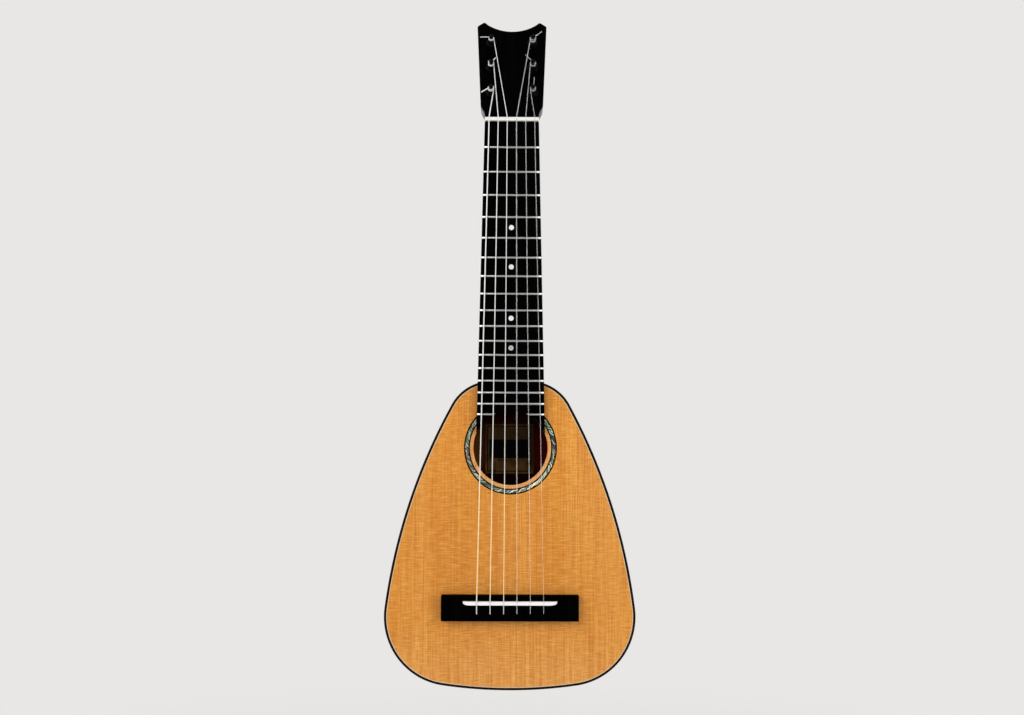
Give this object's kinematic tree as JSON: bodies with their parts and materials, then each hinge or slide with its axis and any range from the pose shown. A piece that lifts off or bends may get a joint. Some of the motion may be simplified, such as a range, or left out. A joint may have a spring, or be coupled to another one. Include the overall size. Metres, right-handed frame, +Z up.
{
  "type": "travel guitar",
  "caption": "Small-bodied travel guitar with a teardrop body, short neck, geared pegs set through a tilted headstock and strings anchored through the bridge.",
  "frame": {"origin": "middle of the neck at the nut, level with the face of the soundboard, where a wall hanger holds the neck under the head", "axes": "+Z up the neck to the head, +Y from the soundboard into the body, +X to the treble side"},
  "size_m": [0.229, 0.0847, 0.6229],
  "materials": {
    "spruce_top": "gloss lacquer over fine straight grain",
    "dark_red_wood": "satin lacquer",
    "black_binding": "polished",
    "black_wood": "oiled",
    "inner_wood": "bare",
    "shell_inlay": "polished shell",
    "bone": "polished",
    "fret_wire": "polished nickel",
    "wound_string": "silver wire over nylon",
    "clear_string": "clear nylon",
    "black_metal": "gloss black",
    "black_button": "gloss black"
  },
  "bodies": {
    "root": {"soundboard": "spruce_top", "rosette": "shell_inlay", "top_binding": "black_binding", "back_binding": "black_binding", "side": "dark_red_wood", "back": "dark_red_wood", "top_lining": "inner_wood", "back_lining": "inner_wood", "neck_block": "inner_wood", "tail_block": "inner_wood", "soundboard_braces": "inner_wood", "bridge_plate": "inner_wood", "neck": "dark_red_wood", "headstock_face": "black_wood", "fretboard": "black_wood", "nut": "bone", "bridge": "black_wood", "saddle": "bone", "fret_1": "fret_wire", "fret_2": "fret_wire", "fret_3": "fret_wire", "fret_4": "fret_wire", "fret_5": "fret_wire", "fret_6": "fret_wire", "fret_7": "fret_wire", "fret_8": "fret_wire", "fret_9": "fret_wire", "fret_10": "fret_wire", "fret_11": "fret_wire", "fret_12": "fret_wire", "fret_13": "fret_wire", "fret_14": "fret_wire", "fret_15": "fret_wire", "fret_16": "fret_wire", "fret_17_bass": "fret_wire", "fret_17_treble": "fret_wire", "string_e_low": "wound_string", "string_a": "wound_string", "string_d": "wound_string", "string_g": "clear_string", "string_b": "clear_string", "string_e_high": "clear_string", "peg_e_low_housing": "black_metal", "peg_a_housing": "black_metal", "peg_d_housing": "black_metal", "peg_g_housing": "black_metal", "peg_b_housing": "black_metal", "peg_e_high_housing": "black_metal"},
    "peg_e_low_post": {"peg_e_low_post": "black_metal"},
    "peg_e_low_button": {"peg_e_low_button": "black_button"},
    "peg_a_post": {"peg_a_post": "black_metal"},
    "peg_a_button": {"peg_a_button": "black_button"},
    "peg_d_post": {"peg_d_post": "black_metal"},
    "peg_d_button": {"peg_d_button": "black_button"},
    "peg_g_post": {"peg_g_post": "black_metal"},
    "peg_g_button": {"peg_g_button": "black_button"},
    "peg_b_post": {"peg_b_post": "black_metal"},
    "peg_b_button": {"peg_b_button": "black_button"},
    "peg_e_high_post": {"peg_e_high_post": "black_metal"},
    "peg_e_high_button": {"peg_e_high_button": "black_button"}
  },
  "joints": [
    {"name": "peg_e_low_button_turn", "type": "hinge", "parent": "root", "child": "peg_e_low_button", "pos_m": [-0.0195, 0.00367, 0.02981], "axis": [0, -0.9744, 0.225], "continuous": true, "deforming": ["string_e_low"]},
    {"name": "peg_e_low_post_turn", "type": "hinge", "parent": "root", "child": "peg_e_low_post", "pos_m": [-0.0195, 0.00367, 0.02981], "axis": [0, -0.9744, 0.225], "continuous": true, "deforming": ["string_e_low"]},
    {"name": "peg_a_button_turn", "type": "hinge", "parent": "root", "child": "peg_a_button", "pos_m": [-0.0195, 0.00956, 0.05529], "axis": [0, -0.9744, 0.225], "continuous": true, "deforming": ["string_a"]},
    {"name": "peg_a_post_turn", "type": "hinge", "parent": "root", "child": "peg_a_post", "pos_m": [-0.0195, 0.00956, 0.05529], "axis": [0, -0.9744, 0.225], "continuous": true, "deforming": ["string_a"]},
    {"name": "peg_d_button_turn", "type": "hinge", "parent": "root", "child": "peg_d_button", "pos_m": [-0.0195, 0.01544, 0.08077], "axis": [0, -0.9744, 0.225], "continuous": true, "deforming": ["string_d"]},
    {"name": "peg_d_post_turn", "type": "hinge", "parent": "root", "child": "peg_d_post", "pos_m": [-0.0195, 0.01544, 0.08077], "axis": [0, -0.9744, 0.225], "continuous": true, "deforming": ["string_d"]},
    {"name": "peg_g_button_turn", "type": "hinge", "parent": "root", "child": "peg_g_button", "pos_m": [0.0195, 0.01544, 0.08077], "axis": [0, -0.9744, 0.225], "continuous": true, "deforming": ["string_g"]},
    {"name": "peg_g_post_turn", "type": "hinge", "parent": "root", "child": "peg_g_post", "pos_m": [0.0195, 0.01544, 0.08077], "axis": [0, -0.9744, 0.225], "continuous": true, "deforming": ["string_g"]},
    {"name": "peg_b_button_turn", "type": "hinge", "parent": "root", "child": "peg_b_button", "pos_m": [0.0195, 0.00956, 0.05529], "axis": [0, -0.9744, 0.225], "continuous": true, "deforming": ["string_b"]},
    {"name": "peg_b_post_turn", "type": "hinge", "parent": "root", "child": "peg_b_post", "pos_m": [0.0195, 0.00956, 0.05529], "axis": [0, -0.9744, 0.225], "continuous": true, "deforming": ["string_b"]},
    {"name": "peg_e_high_button_turn", "type": "hinge", "parent": "root", "child": "peg_e_high_button", "pos_m": [0.0195, 0.00367, 0.02981], "axis": [0, -0.9744, 0.225], "continuous": true, "deforming": ["string_e_high"]},
    {"name": "peg_e_high_post_turn", "type": "hinge", "parent": "root", "child": "peg_e_high_post", "pos_m": [0.0195, 0.00367, 0.02981], "axis": [0, -0.9744, 0.225], "continuous": true, "deforming": ["string_e_high"]}
  ],
  "couplings": [
    {"joint": "peg_e_low_post_turn", "follows": "peg_e_low_button_turn", "ratio": 0.25},
    {"joint": "peg_a_post_turn", "follows": "peg_a_button_turn", "ratio": 0.25},
    {"joint": "peg_d_post_turn", "follows": "peg_d_button_turn", "ratio": 0.25},
    {"joint": "peg_g_post_turn", "follows": "peg_g_button_turn", "ratio": 0.25},
    {"joint": "peg_b_post_turn", "follows": "peg_b_button_turn", "ratio": 0.25},
    {"joint": "peg_e_high_post_turn", "follows": "peg_e_high_button_turn", "ratio": 0.25}
  ]
}
